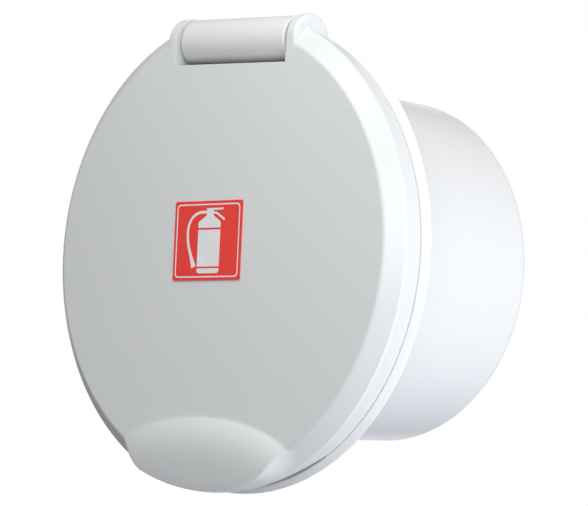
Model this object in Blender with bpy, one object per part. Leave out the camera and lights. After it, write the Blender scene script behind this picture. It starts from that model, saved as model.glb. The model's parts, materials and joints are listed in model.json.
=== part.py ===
"""A recessed fire blanket case: a round housing with a flange that sits flush on a panel, a top-hinged lid
with a thumb lip, and the rolled blanket that the housing holds.

The origin is on the housing's axis in the plane of the panel. -Y is the front, +Y goes into the panel and +Z
is up.
"""

import math

import bmesh
import bpy
from mathutils import Matrix, Vector

MM = 0.001
TAU = 2 * math.pi

# Fits
TOUCH_GAP = 0.3 * MM  # between pieces that rest on each other
RUNNING_GAP = 0.08 * MM  # round a pin in its bush
SEAM_GAP = 0.5 * MM  # between the closed lid and the flange

# Housing
FLANGE_RADIUS = 100 * MM
FLANGE_EDGE_SLOPE = 2.3 * MM  # how much smaller its front is than its back
FLANGE_THICKNESS = 4.3 * MM
FLANGE_FLAT_CUT = 18.7 * MM  # the depth of the flat across its top
DRUM_ROOT_RADIUS = 76.5 * MM
DRUM_TAPER = 2.9 * MM
DRUM_DEPTH = 91.8 * MM  # behind the flange
DRUM_CORNER = 4 * MM
HOUSING_WALL = 2.5 * MM
COLLAR_WALL = 2 * MM
COLLAR_HEIGHT = 9.9 * MM  # in front of the flange

# Gasket behind the flange
GASKET_THICKNESS = 1.5 * MM
GASKET_MARGIN = 3 * MM  # inside the flange's edge
GASKET_CLEARANCE = 2.5 * MM  # round the drum

# Lid
LID_DEPTH = 16.8 * MM  # from the face to the skirt's back edge
LID_INSET = 0.3 * MM  # of its widest circle, inside the flange's
LID_BEVEL_WIDTH = 7 * MM
LID_BEVEL_DEPTH = 6.1 * MM
LID_WALL = 2.5 * MM
LID_RIB_THICKNESS = 1.6 * MM
LID_RIB_DEPTH = 5 * MM
LID_RIB_ANGLES = (-45, -15, 15, 45, 135, 165, 195, 225)
STIFFENER_INSET = 14 * MM  # of the ring on the lid's back, inside the mouth
STIFFENER_DEPTH = 2 * MM

# Thumb lip at the bottom of the lid
LIP_DROP = 8 * MM  # of its centre, above the flange's bottom
LIP_BACKSET = 11.5 * MM  # of its centre, behind the face
LIP_RISE = 5.5 * MM  # in front of the face
LIP_HALF_WIDTH = 55.7 * MM  # where it leaves the face
LIP_HALF_HEIGHT = 23 * MM
LIP_INSET = 0.5 * MM  # of its edge, inside the lid's widest circle
FINGER_HALF_WIDTH = 56 * MM  # of the gap behind the lip, at the flange
FINGER_LIP_THICKNESS = 5 * MM  # of the lip behind the face
FINGER_TOP_GAP = 3.6 * MM  # between the gap behind the lip and the seal

# Hinge
HINGE_DROP = 12 * MM  # of its axis, below the flange's circle
EAR_RADIUS = 10.5 * MM
EAR_THICKNESS = 4.7 * MM
EAR_PROUD = 0.05 * MM  # of the lid's face
EAR_TRIM = 1 * MM  # cut off the ears' inner sides with the notch
NOTCH_HALF_WIDTH = 32.3 * MM
NOTCH_GAP = 0.4 * MM  # between the notch's floor and the knuckle
KNUCKLE_RADIUS = 10 * MM
KNUCKLE_END_GAP = 2.3 * MM
KNUCKLE_EDGE = 1.2 * MM
WEB_HEIGHT = 6 * MM
WEB_DROP = 0.2 * MM  # of the web below the knuckle
WEB_BACK_GAP = 0.5 * MM  # in front of the flange's back
PIN_RADIUS = 2 * MM
PIN_BLIND_WALL = 1.7 * MM  # of the right ear, past the pin's end
PIN_RECESS = 0.6 * MM  # of the pin's end in the left ear
BUSH_WALL = 1.5 * MM
BUSH_LENGTH = 9 * MM
BUSH_FLANGE_RADIUS = 6 * MM
BUSH_FLANGE_THICKNESS = 1.2 * MM
RELIEF_GAP = 0.7 * MM  # between the ears and the flange

# Seal on the collar
SEAL_WALL = 1.1 * MM
SEAL_LEG = 6 * MM
SEAL_ROOM = 0.6 * MM  # between the seal and the back of the thumb lip

# Catch
TONGUE_WIDTH = 10 * MM
TONGUE_THICKNESS = 1.9 * MM
TONGUE_LENGTH = 14 * MM
CATCH_WIDTH = 16 * MM
CATCH_FINGER = 1.8 * MM
CATCH_SLOT_GAP = 0.45 * MM  # on each side of the tongue
CATCH_LENGTH = 20 * MM
CATCH_SLOT_DEPTH = 10 * MM
SHELF_THICKNESS = 4 * MM
SHELF_WIDTH = 18 * MM
SHELF_DEPTH = 14 * MM

# Screws
SCREW_CIRCLE_INSET = 12 * MM  # inside the flange's circle
SCREW_SPREAD = 60  # degrees between neighbours, or less beside wide hinge ears
SCREW_RADIUS = 1.75 * MM
SCREW_HEAD_RADIUS = 4 * MM
SCREW_HEAD_HEIGHT = 2.4 * MM
SCREW_LENGTH = 16 * MM
SCREW_HOLE_GAP = 0.35 * MM
CATCH_SCREW_RADIUS = 1.2 * MM
CATCH_SCREW_HEAD_RADIUS = 2.6 * MM
CATCH_SCREW_HEAD_HEIGHT = 1.6 * MM
CATCH_SCREW_LENGTH = 5 * MM

# Sign on the lid
SIGN_WIDTH = 39 * MM
SIGN_HEIGHT = 33 * MM
SIGN_CENTRE_X = -5 * MM
SIGN_CENTRE_Z = 4 * MM
SIGN_TILT = math.radians(1.7)
SIGN_THICKNESS = 0.4 * MM
SIGN_GAP = 0.1 * MM
SIGN_CORNER = 1 * MM

# Blanket, rolled
ROLL_ROOM = 4.1 * MM  # between its radius and the drum's at the drum's end
ROLL_FRONT = 10 * MM  # behind the flange's back
ROLL_END_GAP = 4 * MM  # to the drum's floor
ROLL_CORE_RADIUS = 9 * MM
ROLL_EDGE = 4 * MM
ROLL_REST_GAP = 1.2 * MM  # to the drum's wall at the bottom
BAND_WIDTH = 25 * MM
BAND_THICKNESS = 0.8 * MM
TAPE_WIDTH = 25 * MM
TAPE_THICKNESS = 1.5 * MM
TAPE_SPACING = 48 * MM
TAPE_TOP = 14 * MM
TAPE_BOTTOM = -30 * MM
TAPE_REACH = 20 * MM  # in front of the roll
TAPE_BEND = 4 * MM

# Sizes and places that follow from the ones above
FLANGE_FRONT_RADIUS = FLANGE_RADIUS - FLANGE_EDGE_SLOPE
FLANGE_FLAT_HEIGHT = FLANGE_RADIUS - FLANGE_FLAT_CUT
DRUM_END_RADIUS = DRUM_ROOT_RADIUS - DRUM_TAPER
FLANGE_BACK_Y = -(GASKET_THICKNESS + TOUCH_GAP)
FLANGE_FRONT_Y = FLANGE_BACK_Y - FLANGE_THICKNESS
DRUM_END_Y = FLANGE_BACK_Y + DRUM_DEPTH
RIM_Y = FLANGE_FRONT_Y - COLLAR_HEIGHT
MOUTH_RADIUS = DRUM_ROOT_RADIUS - HOUSING_WALL
COLLAR_RADIUS = MOUTH_RADIUS + COLLAR_WALL
SEAL_RADIUS = COLLAR_RADIUS + TOUCH_GAP + SEAL_WALL
LID_RADIUS = FLANGE_RADIUS - LID_INSET
LID_FACE_RADIUS = LID_RADIUS - LID_BEVEL_WIDTH
LID_BACK_Y = FLANGE_FRONT_Y - SEAM_GAP
FACE_Y = LID_BACK_Y - LID_DEPTH
LID_INSIDE_Y = FACE_Y + LID_WALL
STIFFENER_RADIUS = MOUTH_RADIUS - STIFFENER_INSET
FINGER_TOP = SEAL_RADIUS + FINGER_TOP_GAP
LIP_HEIGHT = FLANGE_RADIUS - LIP_DROP
HINGE_Y = min(FACE_Y - EAR_PROUD, FLANGE_BACK_Y - 2 * EAR_RADIUS) + EAR_RADIUS
HINGE_HEIGHT = max(FLANGE_RADIUS - HINGE_DROP, SEAL_RADIUS + TOUCH_GAP + WEB_DROP + KNUCKLE_RADIUS)
NOTCH_HEIGHT = HINGE_HEIGHT - KNUCKLE_RADIUS - NOTCH_GAP
HINGE = Vector((0, HINGE_Y, HINGE_HEIGHT))
KNUCKLE_HALF_LENGTH = NOTCH_HALF_WIDTH - KNUCKLE_END_GAP
EAR_OUTSIDE_X = NOTCH_HALF_WIDTH + EAR_THICKNESS
BUSH_RADIUS = PIN_RADIUS + RUNNING_GAP + BUSH_WALL
SHELF_HEIGHT = SHELF_THICKNESS - MOUTH_RADIUS
CATCH_BASE_LOW = SHELF_HEIGHT + TOUCH_GAP
CATCH_BASE_HIGH = CATCH_BASE_LOW + CATCH_FINGER
TONGUE_LOW = CATCH_BASE_HIGH + CATCH_SLOT_GAP
TONGUE_HIGH = TONGUE_LOW + TONGUE_THICKNESS
SHELF_BACK_Y = FLANGE_FRONT_Y + SHELF_DEPTH
CATCH_BACK_Y = SHELF_BACK_Y - 1 * MM
CATCH_FRONT_Y = CATCH_BACK_Y - CATCH_LENGTH
CATCH_SLOT_END_Y = CATCH_FRONT_Y + CATCH_SLOT_DEPTH
CATCH_WALL_BACK_Y = CATCH_SLOT_END_Y + CATCH_FINGER
CATCH_SCREW_Y = (CATCH_WALL_BACK_Y + CATCH_BACK_Y) / 2
SCREW_CIRCLE_RADIUS = FLANGE_RADIUS - SCREW_CIRCLE_INSET
SCREW_LEAST_X = EAR_OUTSIDE_X + RELIEF_GAP + SCREW_HEAD_RADIUS + TOUCH_GAP  # of the ones beside the ears
SCREW_TOP_ANGLE = min(SCREW_SPREAD, math.degrees(math.acos(SCREW_LEAST_X / SCREW_CIRCLE_RADIUS)))
SCREW_ANGLES = (0, SCREW_TOP_ANGLE, 180 - SCREW_TOP_ANGLE, 180, 180 + SCREW_TOP_ANGLE, 360 - SCREW_TOP_ANGLE)
ROLL_RADIUS = DRUM_END_RADIUS - HOUSING_WALL - ROLL_ROOM

ROUND_STEPS = 80
ROLL_STEPS = 40
SMALL_STEPS = 20
SCREW_STEPS = 16


# Shapes

def material(name, colour, roughness, metallic=0.0):
    made = bpy.data.materials.new(name)
    made.use_nodes = True
    made.diffuse_color = (*colour, 1)
    shader = made.node_tree.nodes["Principled BSDF"]
    shader.inputs["Base Color"].default_value = (*colour, 1)
    shader.inputs["Roughness"].default_value = roughness
    shader.inputs["Metallic"].default_value = metallic
    return made


def object_from(name, mesh_data, smooth=True):
    """A new object from a bmesh, with its faces turned outwards."""
    bmesh.ops.recalc_face_normals(mesh_data, faces=mesh_data.faces)
    mesh = bpy.data.meshes.new(name)
    mesh_data.to_mesh(mesh)
    mesh_data.free()
    if smooth:
        mesh.shade_smooth()
        mesh.set_sharp_from_angle(angle=math.radians(30))
    made = bpy.data.objects.new(name, mesh)
    bpy.context.scene.collection.objects.link(made)
    return made


def rounded(corners, step_angle=math.radians(32)):
    """A closed outline from (a, b, fillet) corners, with each fillet as an arc."""
    outline = []
    for index, (a, b, fillet) in enumerate(corners):
        here = Vector((a, b))
        before = (Vector(corners[index - 1][:2]) - here).normalized()
        after = (Vector(corners[(index + 1) % len(corners)][:2]) - here).normalized()
        if fillet <= 0:
            outline.append((here.x, here.y))
            continue
        half = before.angle(after) / 2
        centre = here + (before + after).normalized() * fillet / math.sin(half)
        start = here + before * fillet / math.tan(half) - centre
        end = here + after * fillet / math.tan(half) - centre
        sweep = start.angle_signed(end)
        steps = max(1, math.ceil(abs(sweep) / step_angle))
        for step in range(steps + 1):
            point = centre + Matrix.Rotation(-sweep * step / steps, 2) @ start
            outline.append((point.x, point.y))
    return outline


def turned(name, outline, steps=ROUND_STEPS, about="Y", centre=(0, 0, 0)):
    """A solid of revolution from a closed outline of (radius, distance along the axis)."""
    shape = bmesh.new()
    rings = []
    for radius, along in outline:
        count = steps if radius > 1e-7 else 1
        ring = []
        for step in range(count):
            angle = TAU * (step + 0.5) / steps
            across, up = radius * math.cos(angle), radius * math.sin(angle)
            place = {"X": (along, across, up), "Y": (across, along, up), "Z": (across, up, along)}[about]
            ring.append(shape.verts.new(Vector(place) + Vector(centre)))
        rings.append(ring)
    for index, ring in enumerate(rings):
        following = rings[(index + 1) % len(rings)]
        for step in range(steps):
            corners = []
            for vert in (
                ring[step % len(ring)],
                ring[(step + 1) % len(ring)],
                following[(step + 1) % len(following)],
                following[step % len(following)],
            ):
                if vert not in corners:
                    corners.append(vert)
            if len(corners) > 2:
                shape.faces.new(corners)
    return object_from(name, shape)


def box(name, low, high):
    shape = bmesh.new()
    bmesh.ops.create_cube(shape, size=1)
    size = Vector(high) - Vector(low)
    middle = (Vector(high) + Vector(low)) / 2
    place = Matrix.Translation(middle) @ Matrix.Diagonal((*size, 1))
    bmesh.ops.transform(shape, matrix=place, verts=shape.verts)
    return object_from(name, shape, smooth=False)


def extruded_x(name, outline, low_x, high_x):
    """A closed outline of (y, z) points extruded along X."""
    shape = bmesh.new()
    first = [shape.verts.new((low_x, y, z)) for y, z in outline]
    last = [shape.verts.new((high_x, y, z)) for y, z in outline]
    shape.faces.new(first)
    shape.faces.new(last)
    for index in range(len(outline)):
        following = (index + 1) % len(outline)
        shape.faces.new((first[index], first[following], last[following], last[index]))
    return object_from(name, shape)


def boolean(target, other, operation):
    step = target.modifiers.new(other.name, "BOOLEAN")
    step.operation = operation
    step.object = other
    step.solver = "EXACT"
    other.hide_render = True
    other.display_type = "WIRE"


def cut(target, *others):
    for other in others:
        boolean(target, other, "DIFFERENCE")


def join(target, *others):
    for other in others:
        boolean(target, other, "UNION")


def on_circle(radius, degrees):
    angle = math.radians(degrees)
    return radius * math.cos(angle), radius * math.sin(angle)


def drum_inside_radius(y):
    taper = (DRUM_ROOT_RADIUS - DRUM_END_RADIUS) / DRUM_DEPTH
    return MOUTH_RADIUS - taper * max(0.0, y - FLANGE_BACK_Y)


# Pieces

def cylinder_x(name, radius, low_x, high_x):
    return turned(name, [(0, low_x), (radius, low_x), (radius, high_x), (0, high_x)], SMALL_STEPS, "X", HINGE)


def screw_holes(name, radius, low_y, high_y):
    holes = []
    for index, degrees in enumerate(SCREW_ANGLES):
        x, z = on_circle(SCREW_CIRCLE_RADIUS, degrees)
        outline = [(0, low_y), (radius, low_y), (radius, high_y), (0, high_y)]
        holes.append(turned(f"{name}_{index + 1}", outline, SCREW_STEPS, "Y", (x, 0, z)))
    return holes


def make_housing():
    floor_y = DRUM_END_Y - HOUSING_WALL
    housing = turned("housing", rounded([
        (FLANGE_RADIUS, FLANGE_BACK_Y, 0.6 * MM),
        (DRUM_ROOT_RADIUS, FLANGE_BACK_Y, 0),
        (DRUM_END_RADIUS, DRUM_END_Y, DRUM_CORNER),
        (0, DRUM_END_Y, 0),
        (0, floor_y, 0),
        (drum_inside_radius(floor_y), floor_y, DRUM_CORNER - HOUSING_WALL),
        (MOUTH_RADIUS, FLANGE_BACK_Y, 0),
        (MOUTH_RADIUS, RIM_Y, 0),
        (COLLAR_RADIUS, RIM_Y, 0),
        (COLLAR_RADIUS, FLANGE_FRONT_Y, 0),
        (FLANGE_FRONT_RADIUS, FLANGE_FRONT_Y, 0.5 * MM),
    ]))
    flat = box(
        "flange_flat",
        (-FLANGE_RADIUS, RIM_Y, FLANGE_FLAT_HEIGHT),
        (FLANGE_RADIUS, FLANGE_BACK_Y + FLANGE_THICKNESS, FLANGE_RADIUS + FLANGE_THICKNESS),
    )
    relief_radius = EAR_RADIUS + RELIEF_GAP
    reliefs = [
        cylinder_x("ear_relief_left", relief_radius, -EAR_OUTSIDE_X - RELIEF_GAP, -KNUCKLE_HALF_LENGTH),
        cylinder_x("ear_relief_right", relief_radius, KNUCKLE_HALF_LENGTH, EAR_OUTSIDE_X + RELIEF_GAP),
    ]
    knuckle_bottom = HINGE_HEIGHT - KNUCKLE_RADIUS
    web_half_length = KNUCKLE_HALF_LENGTH - KNUCKLE_EDGE
    web = box(
        "knuckle_web",
        (-web_half_length, HINGE_Y, knuckle_bottom - WEB_DROP),
        (web_half_length, FLANGE_BACK_Y - WEB_BACK_GAP, knuckle_bottom + WEB_HEIGHT),
    )
    knuckle = turned("knuckle", rounded([
        (0, -KNUCKLE_HALF_LENGTH, 0),
        (KNUCKLE_RADIUS, -KNUCKLE_HALF_LENGTH, KNUCKLE_EDGE),
        (KNUCKLE_RADIUS, KNUCKLE_HALF_LENGTH, KNUCKLE_EDGE),
        (0, KNUCKLE_HALF_LENGTH, 0),
    ]), 2 * SMALL_STEPS, "X", HINGE)
    reach = KNUCKLE_HALF_LENGTH + KNUCKLE_END_GAP
    bore = cylinder_x("knuckle_bore", BUSH_RADIUS + RUNNING_GAP, -reach, reach)
    shelf = box(
        "catch_shelf",
        (-SHELF_WIDTH / 2, FLANGE_FRONT_Y, -MOUTH_RADIUS - HOUSING_WALL / 2),
        (SHELF_WIDTH / 2, SHELF_BACK_Y, SHELF_HEIGHT),
    )
    pilot_radius = CATCH_SCREW_RADIUS + RUNNING_GAP
    pilot_bottom = CATCH_BASE_HIGH - CATCH_SCREW_LENGTH
    pilot = turned("catch_pilot", [
        (0, pilot_bottom), (pilot_radius, pilot_bottom), (pilot_radius, 0), (0, 0),
    ], SCREW_STEPS, "Z", (0, CATCH_SCREW_Y, 0))
    cut(housing, flat, *reliefs)
    join(housing, web, knuckle, shelf)
    cut(housing, bore, pilot)
    hole_radius = SCREW_RADIUS + SCREW_HOLE_GAP
    cut(housing, *screw_holes("flange_hole", hole_radius, FLANGE_FRONT_Y - 1 * MM, FLANGE_BACK_Y + 1 * MM))
    return housing


def make_gasket():
    inner = DRUM_ROOT_RADIUS + GASKET_CLEARANCE
    outer = FLANGE_RADIUS - GASKET_MARGIN
    gasket = turned("mounting_gasket", [
        (inner, -GASKET_THICKNESS), (outer, -GASKET_THICKNESS), (outer, 0), (inner, 0),
    ])
    flat = box(
        "gasket_flat",
        (-outer, -1.1 * GASKET_THICKNESS, FLANGE_FLAT_HEIGHT - GASKET_MARGIN / 3),
        (outer, 0.1 * GASKET_THICKNESS, FLANGE_RADIUS),
    )
    cut(gasket, flat)
    cut(gasket, *screw_holes("gasket_hole", SCREW_RADIUS + SCREW_HOLE_GAP, -2 * MM, 1 * MM))
    return gasket


def make_lip():
    """The part of an ellipsoid that stands out of the lid's face, inside the lid's edge."""
    depth = LIP_BACKSET + LIP_RISE
    at_face = math.sqrt(1 - (LIP_BACKSET / depth) ** 2)
    shape = bmesh.new()
    bmesh.ops.create_uvsphere(shape, u_segments=48, v_segments=24, radius=1)
    place = Matrix.Translation((0, FACE_Y + LIP_BACKSET, -LIP_HEIGHT))
    size = Matrix.Diagonal((LIP_HALF_WIDTH / at_face, depth, LIP_HALF_HEIGHT / at_face, 1))
    bmesh.ops.transform(shape, matrix=place @ size @ Matrix.Rotation(math.pi / 2, 4, "X"), verts=shape.verts)
    lip = object_from("lip", shape)
    front, back = FACE_Y - 2 * LIP_RISE, FACE_Y + FINGER_LIP_THICKNESS + LIP_INSET
    radius = LID_RADIUS - LIP_INSET
    edge = turned("lip_edge", [(0, front), (radius, front), (radius, back), (0, back)])
    room_front = LID_INSIDE_Y - LID_WALL / 4
    room_radius = SEAL_RADIUS + SEAL_ROOM
    room = turned("seal_room", [
        (0, room_front), (room_radius, room_front), (room_radius, LID_BACK_Y), (0, LID_BACK_Y),
    ])
    boolean(lip, edge, "INTERSECT")
    cut(lip, room)
    lip.hide_render = True
    return lip


def make_ear(side):
    low, high = sorted((side * (NOTCH_HALF_WIDTH - EAR_TRIM), side * EAR_OUTSIDE_X))
    foot = NOTCH_HEIGHT + 0.4 * MM
    steps = 20
    outline = [(FACE_Y - EAR_PROUD, foot), (HINGE_Y + EAR_RADIUS * 0.3, foot)]
    for step in range(steps + 1):
        angle = -TAU / 5 + (TAU / 2 + TAU / 5) * step / steps
        outline.append((HINGE_Y + EAR_RADIUS * math.cos(angle), HINGE_HEIGHT + EAR_RADIUS * math.sin(angle)))
    return extruded_x("ear_left" if side < 0 else "ear_right", outline, low, high)


def make_lid():
    lid = turned("lid", rounded([
        (0, FACE_Y, 0),
        (LID_FACE_RADIUS, FACE_Y, 2 * MM),
        (LID_RADIUS, FACE_Y + LID_BEVEL_DEPTH, 1.2 * MM),
        (FLANGE_FRONT_RADIUS, LID_BACK_Y, 0.3 * MM),
        (FLANGE_FRONT_RADIUS - LID_WALL, LID_BACK_Y, 0),
        (LID_RADIUS - LID_WALL, FACE_Y + LID_BEVEL_DEPTH + 0.8 * MM, 0),
        (LID_FACE_RADIUS - 0.4 * LID_WALL, LID_INSIDE_Y, 0),
        (STIFFENER_RADIUS + LID_RIB_THICKNESS, LID_INSIDE_Y, 0),
        (STIFFENER_RADIUS + LID_RIB_THICKNESS, LID_INSIDE_Y + STIFFENER_DEPTH, 0),
        (STIFFENER_RADIUS, LID_INSIDE_Y + STIFFENER_DEPTH, 0),
        (STIFFENER_RADIUS, LID_INSIDE_Y, 0),
        (0, LID_INSIDE_Y, 0),
    ]))
    ribs = []
    for degrees in LID_RIB_ANGLES:
        rib = box(
            f"lid_rib_{degrees}",
            (SEAL_RADIUS + LID_RIB_THICKNESS, LID_INSIDE_Y - LID_WALL / 2, -LID_RIB_THICKNESS / 2),
            (LID_FACE_RADIUS, LID_INSIDE_Y + LID_RIB_DEPTH, LID_RIB_THICKNESS / 2),
        )
        rib.rotation_euler.y = -math.radians(degrees)
        ribs.append(rib)
    finger_depth = LID_DEPTH - FINGER_LIP_THICKNESS
    finger_radius = (FINGER_HALF_WIDTH**2 + finger_depth**2) / (2 * finger_depth)
    bottom = -1.3 * LID_RADIUS
    finger_gap = turned("finger_gap", [
        (0, bottom), (finger_radius, bottom), (finger_radius, -FINGER_TOP), (0, -FINGER_TOP),
    ], 2 * ROUND_STEPS, "Z", (0, FACE_Y + FINGER_LIP_THICKNESS + finger_radius, 0))
    notch = box(
        "hinge_notch",
        (-NOTCH_HALF_WIDTH, FACE_Y - 2 * MM, NOTCH_HEIGHT),
        (NOTCH_HALF_WIDTH, HINGE_Y + EAR_RADIUS + 2 * MM, HINGE_HEIGHT + EAR_RADIUS + 2 * MM),
    )
    tongue = box(
        "lid_tongue",
        (-TONGUE_WIDTH / 2, LID_INSIDE_Y - LID_WALL / 2, TONGUE_LOW),
        (TONGUE_WIDTH / 2, LID_INSIDE_Y + TONGUE_LENGTH, TONGUE_HIGH),
    )
    bore = cylinder_x(
        "pin_bore",
        PIN_RADIUS + RUNNING_GAP,
        -EAR_OUTSIDE_X - 1 * MM,
        EAR_OUTSIDE_X - PIN_BLIND_WALL + RUNNING_GAP,
    )
    join(lid, make_lip(), make_ear(-1), make_ear(1))
    cut(lid, finger_gap, notch)
    join(lid, *ribs, tongue)
    cut(lid, bore)
    return lid


def make_seal():
    """A rubber edging with a U section, pushed onto the collar, with a bulb that the lid presses on."""
    back = RIM_Y + SEAL_LEG
    inside = MOUTH_RADIUS - TOUCH_GAP
    outside = COLLAR_RADIUS + TOUCH_GAP
    bulb_front = LID_INSIDE_Y + TOUCH_GAP
    return turned("rim_seal", rounded([
        (inside, back, 0),
        (inside, RIM_Y - TOUCH_GAP, 0),
        (outside, RIM_Y - TOUCH_GAP, 0),
        (outside, back, 0),
        (SEAL_RADIUS, back, 0.4 * MM),
        (SEAL_RADIUS, bulb_front, 2 * MM),
        (inside - SEAL_WALL, bulb_front, 2 * MM),
        (inside - SEAL_WALL, back, 0.4 * MM),
    ], math.radians(50)))


def make_hinge_pin():
    start = -EAR_OUTSIDE_X + PIN_RECESS
    end = EAR_OUTSIDE_X - PIN_BLIND_WALL
    return turned("hinge_pin", rounded([
        (0, start, 0), (PIN_RADIUS, start, 0.4 * MM), (PIN_RADIUS, end, 0.4 * MM), (0, end, 0),
    ]), SMALL_STEPS, "X", HINGE)


def make_bush(side):
    outer = side * (KNUCKLE_HALF_LENGTH + TOUCH_GAP + BUSH_FLANGE_THICKNESS)
    shoulder = side * (KNUCKLE_HALF_LENGTH + TOUCH_GAP)
    inner = side * (KNUCKLE_HALF_LENGTH - BUSH_LENGTH)
    bore = PIN_RADIUS + RUNNING_GAP
    return turned("hinge_bush_left" if side < 0 else "hinge_bush_right", [
        (bore, outer), (BUSH_FLANGE_RADIUS, outer), (BUSH_FLANGE_RADIUS, shoulder),
        (BUSH_RADIUS, shoulder), (BUSH_RADIUS, inner), (bore, inner),
    ], SMALL_STEPS, "X", HINGE)


def make_catch():
    """A clip with a fork that grips the lid's tongue, screwed to the shelf inside the mouth."""
    finger_low = TONGUE_HIGH + CATCH_SLOT_GAP
    finger_high = finger_low + CATCH_FINGER
    low, high = CATCH_BASE_LOW, CATCH_BASE_HIGH
    front, slot_end = CATCH_FRONT_Y, CATCH_SLOT_END_Y
    flare = 0.8 * MM
    catch = extruded_x("catch_clip", [
        (CATCH_BACK_Y, low), (CATCH_BACK_Y, high),
        (CATCH_WALL_BACK_Y, high), (CATCH_WALL_BACK_Y, finger_high),
        (front, finger_high), (front, finger_high - CATCH_FINGER / 2), (front + 2 * flare, finger_low),
        (slot_end, finger_low), (slot_end, high), (front + 2 * flare, high),
        (front, low + CATCH_FINGER / 2), (front, low),
    ], -CATCH_WIDTH / 2, CATCH_WIDTH / 2)
    radius = CATCH_SCREW_RADIUS + SCREW_HOLE_GAP
    hole = turned("catch_hole", [
        (0, low - 1 * MM), (radius, low - 1 * MM), (radius, high + 1 * MM), (0, high + 1 * MM),
    ], SCREW_STEPS, "Z", (0, CATCH_SCREW_Y, 0))
    cut(catch, hole)
    return catch


def cross_recess(name, length, width, low_z, high_z):
    """A cutter with a plus-shaped section, for a cross-head screw."""
    far, near = length / 2, width / 2
    quarter = [(far, -near), (far, near), (near, near)]
    outline = []
    for turn in range(4):
        outline += [tuple(Matrix.Rotation(TAU * turn / 4, 2) @ Vector(point)) for point in quarter]
    shape = bmesh.new()
    low = [shape.verts.new((x, y, low_z)) for x, y in outline]
    high = [shape.verts.new((x, y, high_z)) for x, y in outline]
    shape.faces.new(low)
    shape.faces.new(high)
    for index in range(len(outline)):
        following = (index + 1) % len(outline)
        shape.faces.new((low[index], low[following], high[following], high[index]))
    return object_from(name, shape, smooth=False)


def make_screw(name, radius, head_radius, head_height, length, location, rotation):
    """A pan-head screw whose head rests on its own XY plane, with the shank down -Z."""
    point = 2 * radius
    screw = turned(name, rounded([
        (0, head_height, 0),
        (head_radius, head_height, 0.7 * head_height),
        (head_radius, 0, 0),
        (radius, 0, 0),
        (radius, point - length, 0),
        (0, -length, 0),
    ]), SCREW_STEPS, "Z")
    recess = cross_recess(f"{name}_recess", head_radius, radius / 2, 0.4 * head_height, 2 * head_height)
    recess.parent = screw
    cut(screw, recess)
    screw.location = location
    screw.rotation_euler = rotation
    return screw


def make_mounting_screws():
    screws = []
    for index, degrees in enumerate(SCREW_ANGLES):
        x, z = on_circle(SCREW_CIRCLE_RADIUS, degrees)
        screws.append(make_screw(
            f"mounting_screw_{index + 1}", SCREW_RADIUS, SCREW_HEAD_RADIUS, SCREW_HEAD_HEIGHT, SCREW_LENGTH,
            (x, FLANGE_FRONT_Y - TOUCH_GAP, z), (math.pi / 2, math.radians(degrees / 3), 0),
        ))
    return screws


def make_sign():
    half_width, half_height = SIGN_WIDTH / 2, SIGN_HEIGHT / 2
    outline = rounded([
        (-half_width, -half_height, SIGN_CORNER), (half_width, -half_height, SIGN_CORNER),
        (half_width, half_height, SIGN_CORNER), (-half_width, half_height, SIGN_CORNER),
    ])
    shape = bmesh.new()
    front = [shape.verts.new((x, -SIGN_GAP - SIGN_THICKNESS, z)) for x, z in outline]
    back = [shape.verts.new((x, -SIGN_GAP, z)) for x, z in outline]
    shape.faces.new(front)
    shape.faces.new(back)
    for index in range(len(outline)):
        following = (index + 1) % len(outline)
        shape.faces.new((front[index], front[following], back[following], back[index]))
    sign = object_from("sign_plate", shape)
    sign.location = (SIGN_CENTRE_X, FACE_Y, SIGN_CENTRE_Z)
    sign.rotation_euler.y = -SIGN_TILT
    return sign


def roll_ends():
    """The roll's front and back, along Y, and the height of its axis: it lies on the drum's wall."""
    front = FLANGE_BACK_Y + ROLL_FRONT
    back = DRUM_END_Y - HOUSING_WALL - ROLL_END_GAP
    height = -(drum_inside_radius(back) - ROLL_REST_GAP - ROLL_RADIUS)
    return front, back, height


def make_blanket():
    front, back, height = roll_ends()
    return turned("blanket", rounded([
        (ROLL_CORE_RADIUS, front, ROLL_EDGE / 2),
        (ROLL_RADIUS, front, ROLL_EDGE),
        (ROLL_RADIUS, back, ROLL_EDGE),
        (ROLL_CORE_RADIUS, back, ROLL_EDGE / 2),
    ]), ROLL_STEPS, "Y", (0, 0, height))


def make_band():
    front, back, height = roll_ends()
    middle = (front + back) / 2
    inner = ROLL_RADIUS + TOUCH_GAP
    outer = inner + BAND_THICKNESS
    low, high = middle - BAND_WIDTH / 2, middle + BAND_WIDTH / 2
    outline = [(inner, low), (outer, low), (outer, high), (inner, high)]
    return turned("blanket_band", outline, ROLL_STEPS, "Y", (0, 0, height))


def bent_strip(route, thickness):
    """The closed outline of a strip of this thickness that follows the route's (y, z) points."""
    near, far = [], []
    for index, point in enumerate(route):
        before, after = route[max(index - 1, 0)], route[min(index + 1, len(route) - 1)]
        along = (Vector(after) - Vector(before)).normalized()
        aside = Vector((-along.y, along.x)) * thickness / 2
        near.append(tuple(Vector(point) + aside))
        far.append(tuple(Vector(point) - aside))
    return near + far[::-1]


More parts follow.
